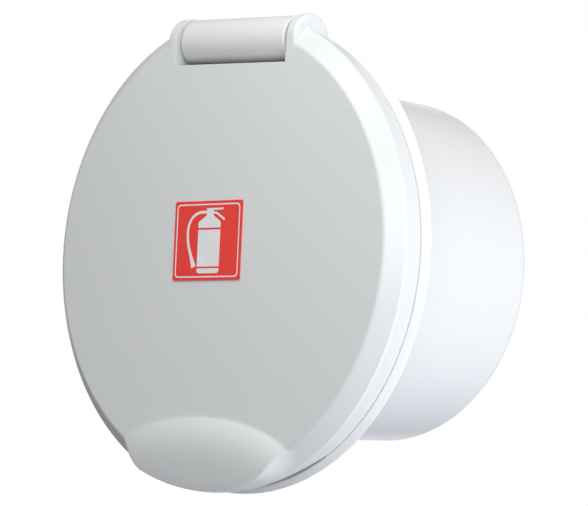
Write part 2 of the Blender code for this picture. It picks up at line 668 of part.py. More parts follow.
def make_tape(side):
    """A webbing loop: out of the roll, over and down, then back up behind itself."""
    roll_front = roll_ends()[0]
    start = roll_front - TOUCH_GAP
    front = roll_front - TAPE_REACH
    behind = front + 2 * TAPE_BEND
    route = [(start, TAPE_TOP)]
    for step in range(9):
        angle = TAU / 4 + TAU / 4 * step / 8
        centre = (front + TAPE_BEND, TAPE_TOP - TAPE_BEND)
        route.append((centre[0] + TAPE_BEND * math.cos(angle), centre[1] + TAPE_BEND * math.sin(angle)))
    for step in range(13):
        angle = TAU / 2 + TAU / 2 * step / 12
        centre = (front + TAPE_BEND, TAPE_BOTTOM + TAPE_BEND)
        route.append((centre[0] + TAPE_BEND * math.cos(angle), centre[1] + TAPE_BEND * math.sin(angle)))
    route.append((behind, (TAPE_TOP + TAPE_BOTTOM) / 2))
    middle = side * TAPE_SPACING / 2
    name = "pull_tape_left" if side < 0 else "pull_tape_right"
    outline = bent_strip(route, TAPE_THICKNESS)
    return extruded_x(name, outline, middle - TAPE_WIDTH / 2, middle + TAPE_WIDTH / 2)


def give(made, finish):
    made.data.materials.clear()
    made.data.materials.append(finish)


def build():
    for old in list(bpy.data.objects):
        bpy.data.objects.remove(old)
    white = material("white_gloss_plastic", (0.86, 0.87, 0.88), 0.28)
    lid_white = material("white_lid_plastic", (0.84, 0.85, 0.86), 0.32)
    rubber = material("dark_rubber", (0.03, 0.03, 0.03), 0.7)
    foam = material("grey_foam_rubber", (0.12, 0.12, 0.12), 0.9)
    steel = material("stainless_steel", (0.62, 0.62, 0.6), 0.3, 1.0)
    acetal = material("white_acetal", (0.8, 0.8, 0.78), 0.4)
    red = material("red_vinyl", (0.83, 0.05, 0.04), 0.35)
    cloth = material("woven_glass_cloth", (0.8, 0.78, 0.72), 0.8)
    webbing = material("black_webbing", (0.02, 0.02, 0.02), 0.8)
    elastic = material("red_elastic", (0.5, 0.03, 0.03), 0.8)

    give(make_housing(), white)
    give(make_gasket(), foam)
    lid = make_lid()
    give(lid, lid_white)
    give(make_seal(), rubber)
    hinge_pin = make_hinge_pin()
    give(hinge_pin, steel)
    for side in (-1, 1):
        give(make_bush(side), acetal)
        give(make_tape(side), webbing)
    give(make_catch(), acetal)
    give(make_screw(
        "catch_screw", CATCH_SCREW_RADIUS, CATCH_SCREW_HEAD_RADIUS,
        CATCH_SCREW_HEAD_HEIGHT, CATCH_SCREW_LENGTH,
        (0, CATCH_SCREW_Y, CATCH_BASE_HIGH + TOUCH_GAP), (0, 0, 0),
    ), steel)
    for screw in make_mounting_screws():
        give(screw, steel)
    sign = make_sign()
    give(sign, red)
    give(make_blanket(), cloth)
    give(make_band(), elastic)

    pivot = bpy.data.objects.new("lid_pivot", None)
    pivot.location = HINGE
    bpy.context.scene.collection.objects.link(pivot)
    for piece in (lid, hinge_pin, sign):
        piece.parent = pivot
        piece.matrix_parent_inverse = Matrix.Translation(-HINGE)


build()
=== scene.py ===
import json
import math

import bmesh
import bpy
import numpy as np
from mathutils import Matrix, Vector


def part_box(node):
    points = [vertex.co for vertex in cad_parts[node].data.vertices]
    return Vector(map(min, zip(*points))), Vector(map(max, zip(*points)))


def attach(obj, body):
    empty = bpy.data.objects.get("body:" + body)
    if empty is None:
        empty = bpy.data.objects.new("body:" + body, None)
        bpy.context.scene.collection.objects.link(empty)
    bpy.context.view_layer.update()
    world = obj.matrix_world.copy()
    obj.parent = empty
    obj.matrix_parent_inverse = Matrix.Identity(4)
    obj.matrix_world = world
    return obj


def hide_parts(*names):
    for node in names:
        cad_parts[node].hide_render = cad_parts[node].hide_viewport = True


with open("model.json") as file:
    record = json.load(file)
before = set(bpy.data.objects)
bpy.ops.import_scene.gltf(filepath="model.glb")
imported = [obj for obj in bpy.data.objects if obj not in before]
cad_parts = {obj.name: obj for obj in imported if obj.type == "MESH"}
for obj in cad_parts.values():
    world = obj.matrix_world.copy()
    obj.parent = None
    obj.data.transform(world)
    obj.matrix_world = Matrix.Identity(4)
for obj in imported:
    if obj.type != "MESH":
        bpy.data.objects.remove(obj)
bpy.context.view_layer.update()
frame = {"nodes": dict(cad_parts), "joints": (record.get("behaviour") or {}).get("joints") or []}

# The looks of a round recessed case with a top-hinged lid, which holds a rolled fire blanket.
# -Y is the front and +Z is up, and lengths are in metres. The hinge's place and the boxes of the
# small nodes are read from the frame. The other sizes repeat those of the CAD model.

MM = 0.001
TAU = 2 * math.pi

HINGE = Vector(frame["joints"][0]["pos_m"])

# Housing
FLANGE_RADIUS = 100 * MM
FLANGE_FRONT_RADIUS = 97.7 * MM
FLANGE_BACK_Y = -1.8 * MM
FLANGE_FRONT_Y = -6.1 * MM
FLANGE_FLAT_HEIGHT = 81.3 * MM
DRUM_ROOT_RADIUS = 76.5 * MM
DRUM_END_RADIUS = 73.6 * MM
DRUM_END_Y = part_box("housing")[1].y
DRUM_CORNER = 5 * MM
HOUSING_WALL = 2.5 * MM
MOUTH_RADIUS = 74 * MM
COLLAR_RADIUS = 76 * MM
RIM_Y = -16 * MM
HOLE_RADIUS = 2.1 * MM
SHELF_HALF_WIDTH = 9 * MM
SHELF_LOW = -75.2 * MM
SHELF_HIGH = -70 * MM
SHELF_BACK_Y = 7.9 * MM

# Edge seal: a channel that grips the collar's rim
SEAL_INNER_RADIUS = 72.6 * MM
SEAL_OUTER_RADIUS = 77.4 * MM
SEAL_SLOT_INNER_RADIUS = 73.7 * MM
SEAL_SLOT_OUTER_RADIUS = 76.3 * MM
SEAL_BACK_Y = -10 * MM
SEAL_GAP = 0.3 * MM
SEAL_CROWN = 2 * MM
SEAL_EDGE = 0.4 * MM

# Lid
FACE_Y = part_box("sign_plate")[1].y + 0.1 * MM
LID_BACK_Y = -6.6 * MM
LID_WALL = 2.5 * MM
LID_FACE_RADIUS = 92.7 * MM
LID_WIDEST_RADIUS = 99.7 * MM
LID_WIDEST_Y = -17.3 * MM
LID_BACK_RADIUS = 97.7 * MM
LID_INSIDE_Y = FACE_Y + LID_WALL
STIFFENER_RADIUS = 60 * MM
STIFFENER_DEPTH = 2 * MM
RIB_THICKNESS = 1.6 * MM
RIB_DEPTH = 5 * MM
RIB_START = 79 * MM
RIB_ANGLES = (-45, -15, 15, 45, 135, 165, 195, 225)
TONGUE_HALF_WIDTH = 5 * MM
TONGUE_LENGTH = 14 * MM
TONGUE_LOW = -67.45 * MM
TONGUE_HIGH = -65.55 * MM
TONGUE_ROUND = 0.3 * MM
BACK_EDGE_ROUND = 0.4 * MM

# Thumb lip: a flattened dome that stands out of the face, and falls away towards the rim
LIP_CENTRE = Vector((0, FACE_Y + 11.5 * MM, -92 * MM))
LIP_SIZE = Vector((64.9 * MM, 17 * MM, 26.8 * MM))
LIP_HALF_ANGLE = math.radians(33)
LIP_TURN = math.radians(14)
LIP_FALL_START = -75 * MM
LIP_FALL = 7
LIP_EDGE_SLOPE = math.radians(83)
LIP_EDGE_ROUND = 1.6 * MM
LIP_CREASE = 0.5 * MM
BEVEL_SLOPE = math.atan2(LID_WIDEST_Y - FACE_Y, LID_WIDEST_RADIUS - LID_FACE_RADIUS)
CORNER_REACH = 0.8 * MM
LIP_BACK_Y = FACE_Y + 5.5 * MM
LIP_SOLID_ANGLE = 41
LIP_SOLID_RADIUS = 78 * MM
FINGER_TOP = -81 * MM
FINGER_ARCH_RADIUS = 138.8 * MM
FINGER_ARCH_Y = FACE_Y + 5 * MM + FINGER_ARCH_RADIUS

# Hinge
EAR_RADIUS = 10.5 * MM
EAR_ROUND = 1.6 * MM
NOTCH_HALF_WIDTH = 32.3 * MM
NOTCH_FLOOR = 77.6 * MM
EAR_OUTSIDE_X = 37 * MM
KNUCKLE_RADIUS = 10 * MM
KNUCKLE_HALF_LENGTH = 30 * MM
KNUCKLE_ROUND = 1.2 * MM
WEB_DROP = 0.2 * MM
WEB_RISE = 6 * MM
RELIEF_GAP = 0.7 * MM
RELIEF_OUTSIDE_X = 37.7 * MM
PIN_RADIUS = 2 * MM
PIN_ROUND = 0.4 * MM
BLIND_WALL = 1.62 * MM
BUSH_RADIUS = 3.58 * MM
BUSH_FLANGE_RADIUS = 6 * MM
BUSH_OUTSIDE_X = 31.5 * MM
BUSH_SHOULDER_X = 30.3 * MM
BUSH_INSIDE_X = 21 * MM
RUNNING_GAP = 0.08 * MM

# Panel screws
SCREW_COUNT = 6
SCREW_RADIUS = 1.75 * MM
SCREW_HEAD_RADIUS = 4 * MM
SCREW_HEAD_HEIGHT = 2.4 * MM
THREAD_PITCH = 1.4 * MM
THREAD_ROOT = 0.78
SCREW_TURN = math.radians(23)

# Blanket, as a folded strip that is rolled up
CLOTH_THICKNESS = 0.42 * MM
LAYERS = 13
LAYER_SPACING = 0.843 * MM
FOLD_REACH = 1.2 * MM
FOLD_STEPS = 5
ROLL_INNER_RADIUS = 9.5 * MM
ROLL_START_ANGLE = 2.2
ROLL_STEPS_PER_TURN = 72

# Pull tapes
TAPE_THICKNESS = 1.5 * MM
TAPE_BEND = 4 * MM
TAPE_EDGE = 0.5 * MM
TAPE_WAVE = 0.12 * MM
TAPE_WAVE_LENGTH = 3 * MM

FINE_STEPS = 256
SMALL_STEPS = 64


# Shapes

def rounded(corners, step_angle=math.radians(12)):
    """A closed outline from (a, b, fillet) corners, with each fillet as an arc."""
    outline = []
    for index, (a, b, fillet) in enumerate(corners):
        here = Vector((a, b))
        if fillet <= 0:
            outline.append((a, b))
            continue
        before = (Vector(corners[index - 1][:2]) - here).normalized()
        after = (Vector(corners[(index + 1) % len(corners)][:2]) - here).normalized()
        half = before.angle(after) / 2
        centre = here + (before + after).normalized() * fillet / math.sin(half)
        start = here + before * fillet / math.tan(half) - centre
        end = here + after * fillet / math.tan(half) - centre
        sweep = start.angle_signed(end)
        steps = max(1, math.ceil(abs(sweep) / step_angle))
        for step in range(steps + 1):
            point = centre + Matrix.Rotation(-sweep * step / steps, 2) @ start
            outline.append((point.x, point.y))
    return outline


def finished_mesh(name, shape, sharp=30):
    """A new object from a bmesh, with its faces turned outwards and smooth up to the sharp angle."""
    bmesh.ops.recalc_face_normals(shape, faces=shape.faces)
    mesh = bpy.data.meshes.new(name)
    shape.to_mesh(mesh)
    shape.free()
    mesh.shade_smooth()
    mesh.set_sharp_from_angle(angle=math.radians(sharp))
    made = bpy.data.objects.new(name, mesh)
    bpy.context.scene.collection.objects.link(made)
    return made


def from_grid(name, rows, sharp=30):
    """A closed shape from rings of points. The first and last ring may be a single point."""
    shape = bmesh.new()
    rings = [[shape.verts.new(point) for point in row] for row in rows]
    count = max(len(ring) for ring in rings)
    for ring, following in zip(rings, rings[1:]):
        for step in range(count):
            corners = []
            for vert in (
                ring[step % len(ring)],
                ring[(step + 1) % len(ring)],
                following[(step + 1) % len(following)],
                following[step % len(following)],
            ):
                if vert not in corners:
                    corners.append(vert)
            if len(corners) > 2:
                shape.faces.new(corners)
    return finished_mesh(name, shape, sharp)


def turned(name, outline, steps=FINE_STEPS, about="Y", centre=(0, 0, 0), sharp=30):
    """A solid of revolution from a closed outline of (radius, distance along the axis)."""
    rows = []
    for radius, along in outline:
        ring = []
        for step in range(steps if radius > 1e-7 else 1):
            angle = TAU * (step + 0.5) / steps
            across, up = radius * math.cos(angle), radius * math.sin(angle)
            places = {"X": (along, across, up), "Y": (across, along, up), "Z": (across, up, along)}
            place = places[about]
            ring.append(Vector(place) + Vector(centre))
        rows.append(ring)
    on_axis = outline[0][0] <= 1e-7 and outline[-1][0] <= 1e-7
    if not on_axis:
        rows.append(rows[0])
    made = from_grid(name, rows, sharp)
    if not on_axis:
        weld(made)
    return made


def weld(made):
    """Joins points that lie on each other."""
    shape = bmesh.new()
    shape.from_mesh(made.data)
    bmesh.ops.remove_doubles(shape, verts=shape.verts, dist=1e-6)
    bmesh.ops.recalc_face_normals(shape, faces=shape.faces)
    shape.to_mesh(made.data)
    shape.free()


def block(name, low, high, bevel=0.0):
    """A box between two corners, with its edges rounded off by the bevel."""
    shape = bmesh.new()
    bmesh.ops.create_cube(shape, size=1)
    size = Vector(high) - Vector(low)
    middle = (Vector(high) + Vector(low)) / 2
    place = Matrix.Translation(middle) @ Matrix.Diagonal((*size, 1))
    bmesh.ops.transform(shape, matrix=place, verts=shape.verts)
    if bevel:
        bmesh.ops.bevel(shape, geom=shape.edges, offset=bevel, segments=2, affect="EDGES", profile=0.5)
    return finished_mesh(name, shape)


def prism(name, outlines, to_place, near, far, sharp=30):
    """Flat outlines of (a, b) points, each extruded from near to far. to_place gives the 3-D point."""
    shape = bmesh.new()
    for outline in outlines:
        first = [shape.verts.new(to_place(a, b, near)) for a, b in outline]
        last = [shape.verts.new(to_place(a, b, far)) for a, b in outline]
        shape.faces.new(first)
        shape.faces.new(last)
        for index in range(len(outline)):
            following = (index + 1) % len(outline)
            shape.faces.new((first[index], first[following], last[following], last[index]))
    return finished_mesh(name, shape, sharp)


def settle(made, sharp=30):
    """Applies an object's modifiers."""
    graph = bpy.context.evaluated_depsgraph_get()
    mesh = bpy.data.meshes.new_from_object(made.evaluated_get(graph))
    made.modifiers.clear()
    made.data = mesh
    mesh.shade_smooth()
    mesh.set_sharp_from_angle(angle=math.radians(sharp))


def combine(target, others, operation):
    """Joins the others to the target, or cuts them from it, and removes them."""
    for other in others:
        step = target.modifiers.new(other.name, "BOOLEAN")
        step.operation = operation
        step.object = other
        step.solver = "EXACT"
    settle(target)
    for other in others:
        bpy.data.objects.remove(other)


def join(target, *others):
    combine(target, others, "UNION")


def cut(target, *others):
    combine(target, others, "DIFFERENCE")


def rod(name, radius, low_x, high_x, edge=0.0):
    """A round bar on the hinge's axis."""
    outline = rounded([(0, low_x, 0), (radius, low_x, edge), (radius, high_x, edge), (0, high_x, 0)])
    return turned(name, outline, SMALL_STEPS, "X", HINGE)


# Materials

def shader_of(name, colour, roughness, **sockets):
    """A material, its node tree and its Principled shader, with fixed values on the shader's sockets."""
    made = bpy.data.materials.new(name)
    made.use_nodes = True
    made.diffuse_color = (*colour, 1)
    shader = made.node_tree.nodes["Principled BSDF"]
    shader.inputs["Base Color"].default_value = (*colour, 1)
    shader.inputs["Roughness"].default_value = roughness
    for socket, value in sockets.items():
        shader.inputs[socket.replace("_", " ")].default_value = value
    return made, made.node_tree, shader


def add_node(tree, kind, inputs=(), **settings):
    node = tree.nodes.new(kind)
    for name, value in settings.items():
        setattr(node, name, value)
    for name, value in dict(inputs).items():
        if isinstance(value, bpy.types.NodeSocket):
            tree.links.new(value, node.inputs[name])
        else:
            node.inputs[name].default_value = value
    return node


def spread_colour(tree, shader, factor, low, high, start=0.3, end=0.7):
    """Varies the base colour between two near colours."""
    ramp = add_node(tree, "ShaderNodeValToRGB", {"Fac": factor})
    ramp.color_ramp.elements[0].color = (*low, 1)
    ramp.color_ramp.elements[1].color = (*high, 1)
    ramp.color_ramp.elements[0].position = start
    ramp.color_ramp.elements[1].position = end
    tree.links.new(ramp.outputs["Color"], shader.inputs["Base Color"])


def spread_roughness(tree, shader, factor, low, high):
    reach = add_node(tree, "ShaderNodeMapRange", {"Value": factor, "To Min": low, "To Max": high})
    tree.links.new(reach.outputs["Result"], shader.inputs["Roughness"])


def raise_bump(tree, shader, height, strength, distance):
    bump = add_node(tree, "ShaderNodeBump", {"Height": height, "Strength": strength, "Distance": distance})
    tree.links.new(bump.outputs["Normal"], shader.inputs["Normal"])


def noise(tree, scale, detail=3.0, roughness=0.5, stretch=None):
    """Noise over the object's own coordinates."""
    place = add_node(tree, "ShaderNodeTexCoord").outputs["Object"]
    if stretch:
        place = add_node(tree, "ShaderNodeMapping", {"Vector": place, "Scale": stretch}).outputs["Vector"]
    sockets = {"Vector": place, "Scale": scale, "Detail": detail, "Roughness": roughness}
    return add_node(tree, "ShaderNodeTexNoise", sockets).outputs["Fac"]


def moulded_plastic(name, colour, roughness, grain=2600, depth=0.012):
    """Smooth injection-moulded plastic: a faint orange peel, and slow changes of gloss and tint."""
    made, tree, shader = shader_of(name, colour, roughness, Coat_Weight=0.12, Coat_Roughness=0.12)
    slow = noise(tree, 9, 2)
    darker = tuple(value * 0.975 for value in colour)
    spread_colour(tree, shader, slow, darker, colour)
    spread_roughness(tree, shader, noise(tree, 60, 4), roughness - 0.05, roughness + 0.06)
    raise_bump(tree, shader, noise(tree, grain, 2), depth, 0.2 * MM)
    return made


def rubber_of(name, colour, pores):
    made, tree, shader = shader_of(name, colour, 0.75)
    lighter = tuple(value * 1.7 + 0.01 for value in colour)
    spread_colour(tree, shader, noise(tree, pores, 4), colour, lighter)
    raise_bump(tree, shader, noise(tree, pores, 5, 0.7), 0.5, 0.3 * MM)
    return made


def brushed_steel():
    made, tree, shader = shader_of("stainless_steel", (0.62, 0.62, 0.6), 0.28, Metallic=1.0)
    lines = noise(tree, 900, 3, 0.5, (1, 0.06, 1))
    spread_colour(tree, shader, noise(tree, 200, 3), (0.55, 0.55, 0.54), (0.68, 0.68, 0.66))
    spread_roughness(tree, shader, lines, 0.2, 0.4)
    raise_bump(tree, shader, lines, 0.15, 0.05 * MM)
    return made


def vinyl(name, colour, roughness=0.3, **sockets):
    made, tree, shader = shader_of(name, colour, roughness, **sockets)
    duller = tuple(value * 0.93 for value in colour)
    spread_colour(tree, shader, noise(tree, 120, 3), duller, colour)
    raise_bump(tree, shader, noise(tree, 1800, 2), 0.03, 0.1 * MM)
    return made


def along_surface(tree, ring_radius):
    """Distances over the cloth: its UVs, or for a band round the case's axis its width and its way round."""
    if not ring_radius:
        spread = add_node(tree, "ShaderNodeUVMap").outputs["UV"]
        parts = add_node(tree, "ShaderNodeSeparateXYZ", {"Vector": spread})
        return parts.outputs["X"], parts.outputs["Y"]
    place = add_node(tree, "ShaderNodeTexCoord").outputs["Object"]
    parts = add_node(tree, "ShaderNodeSeparateXYZ", {"Vector": place})
    sideways, upwards = parts.outputs["X"], parts.outputs["Z"]
    turn = add_node(tree, "ShaderNodeMath", {0: sideways, 1: upwards}, operation="ARCTAN2")
    way = add_node(tree, "ShaderNodeMath", {0: turn.outputs[0], 1: ring_radius}, operation="MULTIPLY")
    return parts.outputs["Y"], way.outputs[0]


def weave(name, colour, shade, threads, depth, gloss, ring_radius=0.0):
    """Woven cloth. Threads are counted per metre, across the cloth and along it. The shade colour is painted
    shade in the dips between the threads, mixed with random darker patches from noise.
    """
    made, tree, shader = shader_of(name, colour, gloss, Sheen_Weight=0.3, Sheen_Roughness=0.4)
    waves = []
    for way, count in zip(along_surface(tree, ring_radius), threads):
        turn = add_node(tree, "ShaderNodeMath", {0: way, 1: math.pi * count}, operation="MULTIPLY")
        waves.append(add_node(tree, "ShaderNodeMath", {0: turn.outputs[0]}, operation="SINE").outputs[0])
    over = add_node(tree, "ShaderNodeMath", {0: waves[0], 1: waves[1]}, operation="MULTIPLY").outputs[0]
    height = add_node(tree, "ShaderNodeMapRange", {"Value": over, "From Min": -1.0}).outputs["Result"]
    rough = noise(tree, 700, 4, 0.6)
    mixed = add_node(tree, "ShaderNodeMath", {0: height, 1: rough}, operation="MULTIPLY").outputs[0]
    # Painted shade: the weave's dips take the darker shade colour. Random patches from the noise darken it
    # too.
    spread_colour(tree, shader, mixed, shade, colour, 0.05, 0.5)
    raise_bump(tree, shader, mixed, 0.8, depth)
    return made


# The case and the lid are one white plastic. The lid's copy is a little darker and bluer than the case's:
# painted shade on the lid's face.
WHITE = moulded_plastic("white_case_plastic", (0.83, 0.84, 0.85), 0.34)
SHADED_LID_WHITE = moulded_plastic("white_lid_plastic", (0.80, 0.82, 0.825), 0.36)
ACETAL = moulded_plastic("natural_acetal", (0.78, 0.77, 0.73), 0.45)
RUBBER = rubber_of("black_rubber", (0.02, 0.02, 0.02), 500)
FOAM = rubber_of("grey_foam", (0.09, 0.09, 0.09), 1500)
STEEL = brushed_steel()
RED = vinyl("red_vinyl", (1.0, 0.06, 0.045))
PRINT = vinyl("white_print", (0.93, 0.94, 0.95), 0.4)
# The second colour of each cloth is painted shade for the dips of its weave.
GLASS = weave("glass_cloth", (0.86, 0.84, 0.78), (0.5, 0.47, 0.4), (1200, 1200), 0.3 * MM, 0.5)
WEBBING = weave("black_webbing", (0.035, 0.035, 0.038), (0.008, 0.008, 0.008), (900, 500), 0.5 * MM, 0.65)
ELASTIC = weave("red_elastic", (0.55, 0.03, 0.03), (0.2, 0.01, 0.01), (1000, 400), 0.4 * MM, 0.7, 67.5 * MM)


def place_piece(made, body, node, finish):
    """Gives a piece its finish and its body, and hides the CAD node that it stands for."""
    made.data.materials.clear()
    made.data.materials.append(finish)
    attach(made, body)
    if node:
        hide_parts(node)
    return made


# The lid

def smooth_max(a, b, reach):
    """The larger of two heights, with a fillet where they are equal."""
    return np.maximum(a, b) + np.maximum(reach - np.abs(a - b), 0) ** 2 / (4 * reach)


def smooth_step(value):
    value = np.clip(value, 0, 1)
    return value * value * (3 - 2 * value)


def lid_angles():
    """Steps round the lid, finer where the thumb lip is."""
    fine = np.arange(-140, -40, 0.4)
    coarse = np.arange(-40, 220, 1.5)
    return np.radians(np.concatenate([fine, coarse]))


def face_height(radius):
    """How far in front of the panel the lid's face and bevel are, without the lip."""
    slope = (LID_WIDEST_Y - FACE_Y) / (LID_WIDEST_RADIUS - LID_FACE_RADIUS)
    height = -FACE_Y - np.maximum(radius - LID_FACE_RADIUS, 0) * slope
    reach = 0.9 * MM
    near = np.clip(np.abs(radius - LID_FACE_RADIUS) / reach, 0, 1)
    return height - reach * slope / 4 * (1 - near) ** 2


def lip_height(x, z):
    """How far in front of the panel the lip's dome is."""
    inside = 1 - ((x / LIP_SIZE.x) ** 2 + ((z - LIP_CENTRE.z) / LIP_SIZE.z) ** 2) ** 2
    fall = LIP_FALL * np.maximum(LIP_FALL_START - z, 0) ** 2
    return -LIP_CENTRE.y + LIP_SIZE.y * np.sqrt(np.maximum(inside, 0)) - fall


def edge_slope(angles):
    """The rim band's slope: the bevel's own, and steeper towards the middle of the lip."""
    share = smooth_step((LIP_HALF_ANGLE - np.abs(angles + math.pi / 2)) / LIP_TURN)
    return BEVEL_SLOPE + (LIP_EDGE_SLOPE - BEVEL_SLOPE) * share


def widest_y(angles):
    """Where the rim band meets the skirt, or the finger gap under the lip."""
    return np.minimum(LID_WIDEST_Y, finger_arch_y(LID_BACK_RADIUS, angles) - 2 * CORNER_REACH)


def front_y(radius, angles):
    """The lid's front: its face and bevel, or the lip where that stands out further."""
    x, z = radius * np.cos(angles), radius * np.sin(angles)
    band = -widest_y(angles) + np.tan(edge_slope(angles)) * (LID_WIDEST_RADIUS - radius)
    lip = -smooth_max(-lip_height(x, z), -band, LIP_EDGE_ROUND)
    return -smooth_max(face_height(radius) + 0 * angles, lip, LIP_CREASE)


def finger_arch_y(radius, angles):
    """The back edge's y where the gap behind the lip cuts it."""
    x, z = radius * np.cos(angles), radius * np.sin(angles)
    arch = FINGER_ARCH_Y - np.sqrt(np.maximum(FINGER_ARCH_RADIUS**2 - x**2, 0))
    return np.where(z < FINGER_TOP, np.minimum(arch, LID_BACK_Y), LID_BACK_Y)


def skirt_radius(y):
    """The skirt narrows a little from the rim to its back edge."""
    share = (y - LID_WIDEST_Y) / (LID_BACK_Y - LID_WIDEST_Y)
    return LID_WIDEST_RADIUS + (LID_BACK_RADIUS - LID_WIDEST_RADIUS) * np.clip(share, 0, 1)


def lid_rows():
    """The lid's rings of points, from the middle of its face round the back edge to its inside."""
    angles = lid_angles()
    rows = []

    def add(radius, y):
        radius, y = np.broadcast_arrays(radius, y, angles)[:2]
        rows.append(np.stack([radius * np.cos(angles), y, radius * np.sin(angles)], axis=1))

    # The rings are closer together where the lip is, and closest at the edge of the face.
    face_radii = MM * np.concatenate([
        np.arange(6, 60, 6), np.arange(60, 91.4, 0.6), np.arange(91.4, 93.4, 0.25),
    ])
    rows.append(np.array([[0, FACE_Y, 0]]))
    for radius in face_radii:
        add(radius, front_y(radius, angles))

    # The rim band, closer together where the lip's edge is steep, and the soft corner to the skirt.
    back_y = finger_arch_y(LID_BACK_RADIUS, angles)
    corner_y = widest_y(angles)
    slope = edge_slope(angles)
    band_end = LID_WIDEST_RADIUS - CORNER_REACH * np.cos(slope)
    band_steps = 26
    for step in range(1, band_steps + 1):
        share = 1 - (1 - step / band_steps) ** 2
        radius = face_radii[-1] + (band_end - face_radii[-1]) * share
        add(radius, front_y(radius, angles))
    band_y = rows[-1][:, 1]
    skirt_y = corner_y + CORNER_REACH
    for t in (0.2, 0.4, 0.6, 0.8, 1):
        near, middle, far = (1 - t) ** 2, 2 * t * (1 - t), t**2
        radius = near * band_end + middle * LID_WIDEST_RADIUS + far * skirt_radius(skirt_y)
        add(radius, near * band_y + middle * corner_y + far * skirt_y)

    # Down the skirt, round its back edge and up its inside.
    edge = BACK_EDGE_ROUND
    last_y = rows[-1][:, 1]
    for share in (0.25, 0.5, 0.75, 1):
        y = last_y + (back_y - edge - last_y) * share
        add(skirt_radius(y), y)
    outer = skirt_radius(back_y)
    for turn in (30, 60, 90):
        across = edge * (1 - math.cos(math.radians(turn)))
        add(outer - across, back_y - edge + edge * math.sin(math.radians(turn)))
    for turn in (90, 60, 30, 0):
        across = edge * (1 - math.cos(math.radians(turn)))
        add(outer - LID_WALL + across, back_y - edge + edge * math.sin(math.radians(turn)))

    solid = np.abs(angles + math.pi / 2) < math.radians(LIP_SOLID_ANGLE)
    inside_widest_y = LID_WIDEST_Y + 0.8 * MM
    for radius, y in (
        (LID_WIDEST_RADIUS - LID_WALL, inside_widest_y),
        (LID_FACE_RADIUS - 1 * MM, LID_INSIDE_Y),
        (88 * MM, LID_INSIDE_Y),
        (83 * MM, LID_INSIDE_Y),
        (LIP_SOLID_RADIUS + 0.05 * MM, LID_INSIDE_Y),
    ):
        reached = np.minimum(LIP_BACK_Y, finger_arch_y(radius, angles) - 0.05 * MM)
        add(np.where(solid, np.minimum(radius, outer - LID_WALL), radius), np.where(solid, reached, y))
    ring = STIFFENER_RADIUS
    for radius, y in (
        (LIP_SOLID_RADIUS, LID_INSIDE_Y),
        (ring + RIB_THICKNESS, LID_INSIDE_Y),
        (ring + RIB_THICKNESS, LID_INSIDE_Y + STIFFENER_DEPTH - 0.2 * MM),
        (ring + RIB_THICKNESS - 0.2 * MM, LID_INSIDE_Y + STIFFENER_DEPTH),
        (ring + 0.2 * MM, LID_INSIDE_Y + STIFFENER_DEPTH),
        (ring, LID_INSIDE_Y + STIFFENER_DEPTH - 0.2 * MM),
        (ring, LID_INSIDE_Y),
        (ring / 2, LID_INSIDE_Y),
    ):
        add(radius, y)
    rows.append(np.array([[0, LID_INSIDE_Y, 0]]))
    return rows


def ear(side):
    """A cheek beside the hinge's knuckle, rounded on its outer side."""
    low, high = sorted((side * (NOTCH_HALF_WIDTH - 1 * MM), side * EAR_OUTSIDE_X))
    foot = NOTCH_FLOOR + 0.4 * MM
    steps = 48
    outline = [(FACE_Y - 0.05 * MM, foot), (HINGE.y + EAR_RADIUS * 0.3, foot)]
    for step in range(steps + 1):
        angle = -TAU / 5 + (TAU / 2 + TAU / 5) * step / steps
        outline.append((HINGE.y + EAR_RADIUS * math.cos(angle), HINGE.z + EAR_RADIUS * math.sin(angle)))
    made = prism(f"ear_{side}", [outline], lambda a, b, x: (x, a, b), low, high)
    shape = bmesh.new()
    shape.from_mesh(made.data)

    def on_outside(vert):
        return abs(vert.co.x - side * EAR_OUTSIDE_X) < 1e-6 and vert.co.z > foot + 1e-6

    outside = [edge for edge in shape.edges if all(on_outside(vert) for vert in edge.verts)]
    bmesh.ops.bevel(shape, geom=outside, offset=EAR_ROUND, segments=5, affect="EDGES", profile=0.5)
    shape.to_mesh(made.data)
    shape.free()
    return made


def make_lid():
    lid = from_grid("lid_shell", lid_rows(), 28)
    ribs = []
    for degrees in RIB_ANGLES:
        low = (RIB_START, LID_INSIDE_Y - LID_WALL / 2, -RIB_THICKNESS / 2)
        high = (LID_FACE_RADIUS, LID_INSIDE_Y + RIB_DEPTH, RIB_THICKNESS / 2)
        rib = block(f"rib_{degrees}", low, high)
        rib.data.transform(Matrix.Rotation(-math.radians(degrees), 4, "Y"))
        ribs.append(rib)
    tongue = block(
        "tongue",
        (-TONGUE_HALF_WIDTH, LID_INSIDE_Y - LID_WALL / 2, TONGUE_LOW),
        (TONGUE_HALF_WIDTH, LID_INSIDE_Y + TONGUE_LENGTH, TONGUE_HIGH),
        TONGUE_ROUND,
    )
    join(lid, ear(-1), ear(1), *ribs, tongue)
    reach = HINGE.z + 2 * EAR_RADIUS
    notch = block(
        "notch",
        (-NOTCH_HALF_WIDTH, FACE_Y - 5 * MM, NOTCH_FLOOR),
        (NOTCH_HALF_WIDTH, HINGE.y + 2 * EAR_RADIUS, reach),
    )
    bore = rod("pin_bore", PIN_RADIUS + RUNNING_GAP, -EAR_OUTSIDE_X - 1 * MM, EAR_OUTSIDE_X - BLIND_WALL)
    cut(lid, notch, bore)
    settle(lid, 28)
    # The lid takes the darker, bluer copy of the white plastic, which is painted shade.
    return place_piece(lid, "lid", "lid", SHADED_LID_WHITE)


# The housing

